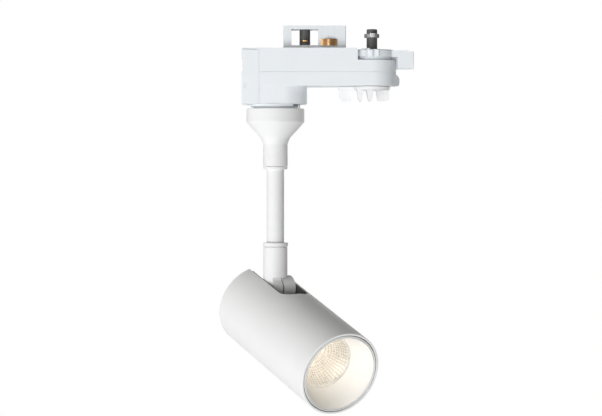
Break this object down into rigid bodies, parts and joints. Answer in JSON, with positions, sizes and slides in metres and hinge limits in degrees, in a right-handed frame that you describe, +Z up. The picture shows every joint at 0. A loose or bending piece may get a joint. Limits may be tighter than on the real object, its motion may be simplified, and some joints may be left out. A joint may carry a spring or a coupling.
{
  "type": "track spotlight",
  "caption": "White track spotlight: track adaptor with lock lever and circuit selector, turning stem, and a cylindrical head that tilts in a half-lap knuckle, with a faceted reflector.",
  "frame": {"origin": "on the stem's turning axis, in the plane where the adaptor's top rests against the underside of the track", "axes": "+Z up into the track, +X along the track towards the lock lever, -Y towards the side the head faces at rest"},
  "size_m": [0.1454, 0.1398, 0.283],
  "materials": {
    "adaptor_plastic": "moulded cool-white polycarbonate, fine satin grain",
    "clear_plastic": "milky translucent plastic",
    "white_paint": "fine white powder coat, satin",
    "black_plastic": "black moulded plastic",
    "plated_steel": "zinc plated",
    "contact_copper": "bright contact copper",
    "bare_aluminium": "die-cast aluminium",
    "white_optic": "matte white anti-glare plastic",
    "reflector_film": "faceted metallised reflector",
    "led_phosphor": "warm white LED phosphor, lit",
    "circuit_board": "green circuit board",
    "cable_sheath": "grey cable sheath"
  },
  "bodies": {
    "adaptor": {"upper_housing": "adaptor_plastic", "lower_housing": "adaptor_plastic", "end_cap": "adaptor_plastic", "end_catch": "adaptor_plastic", "housing_screw_1": "plated_steel", "housing_screw_2": "plated_steel", "housing_screw_3": "plated_steel", "housing_screw_4": "plated_steel", "contact_tower": "adaptor_plastic", "earth_contact_front": "contact_copper", "earth_contact_back": "contact_copper", "terminal_block": "black_plastic", "adaptor_lead": "cable_sheath", "pan_spacer": "adaptor_plastic", "pan_washer": "plated_steel", "pan_stop_pin": "plated_steel"},
    "lever": {"lock_lever": "adaptor_plastic", "lock_rotor": "black_plastic", "locking_lug": "plated_steel", "lock_crank": "plated_steel"},
    "link": {"link_bar": "plated_steel"},
    "rear_cam": {"rear_rotor": "black_plastic", "rear_crank": "plated_steel", "neutral_contact": "contact_copper"},
    "phase_slider": {"phase_carrier": "black_plastic", "phase_contact": "contact_copper"},
    "selector": {"selector_knob": "clear_plastic", "selector_cam": "black_plastic"},
    "stem": {"canopy_cup": "white_paint", "threaded_nipple": "plated_steel", "suspension_nut": "plated_steel", "canopy_nut": "plated_steel", "upper_grub_screw": "plated_steel", "upper_collar": "white_paint", "stem_tube": "white_paint", "stem_cable": "cable_sheath", "lower_collar": "white_paint", "lower_sleeve": "white_paint", "lower_grub_screw": "plated_steel", "tilt_bolt": "plated_steel", "tilt_washer": "black_plastic", "tilt_nut": "plated_steel"},
    "head": {"head_tube": "white_paint", "front_bezel": "white_paint", "baffle": "white_optic", "reflector": "reflector_film", "led_emitter": "led_phosphor", "led_board": "bare_aluminium", "led_holder": "white_optic", "heat_sink": "bare_aluminium", "tilt_bracket": "white_paint", "bracket_screw_1": "plated_steel", "bracket_screw_2": "plated_steel", "slot_liner": "black_plastic", "driver_case": "black_plastic", "driver_board": "circuit_board", "rear_cap": "white_paint", "rear_cap_screw_1": "plated_steel", "rear_cap_screw_2": "plated_steel"}
  },
  "joints": [
    {"name": "lever_turn", "type": "hinge", "parent": "adaptor", "child": "lever", "pos_m": [0.072, 0, -0.004], "axis": [0, 0, -1], "range_deg": [0, 90]},
    {"name": "rear_cam_turn", "type": "hinge", "parent": "adaptor", "child": "rear_cam", "pos_m": [0.022, 0, 0], "axis": [0, 0, -1], "range_deg": [-0.5, 90.5]},
    {"name": "link_turn", "type": "hinge", "parent": "lever", "child": "link", "pos_m": [0.07624, -0.00424, -0.0149], "axis": [0, 0, -1], "range_deg": [-90.5, 0.5]},
    {"name": "phase_slide", "type": "slide", "parent": "rear_cam", "child": "phase_slider", "axis": [0, 0, 1], "range_m": [-0.0001, 0.0081]},
    {"name": "selector_turn", "type": "hinge", "parent": "adaptor", "child": "selector", "pos_m": [0.0717, 0, -0.028], "axis": [0, 0, 1], "range_deg": [0, 270]},
    {"name": "stem_pan", "type": "hinge", "parent": "adaptor", "child": "stem", "pos_m": [0, 0, -0.044], "axis": [0, 0, 1], "range_deg": [-175, 175]},
    {"name": "head_tilt", "type": "hinge", "parent": "stem", "child": "head", "pos_m": [0, 0, -0.1785], "axis": [0.8536, 0.521, 0], "range_deg": [-20.6, 69.4]}
  ],
  "couplings": [
    {"joint": "rear_cam_turn", "follows": "lever_turn", "ratio": 1},
    {"joint": "link_turn", "follows": "lever_turn", "ratio": -1},
    {"joint": "phase_slide", "follows": "selector_turn", "m_per_rad": 0.0016977}
  ]
}
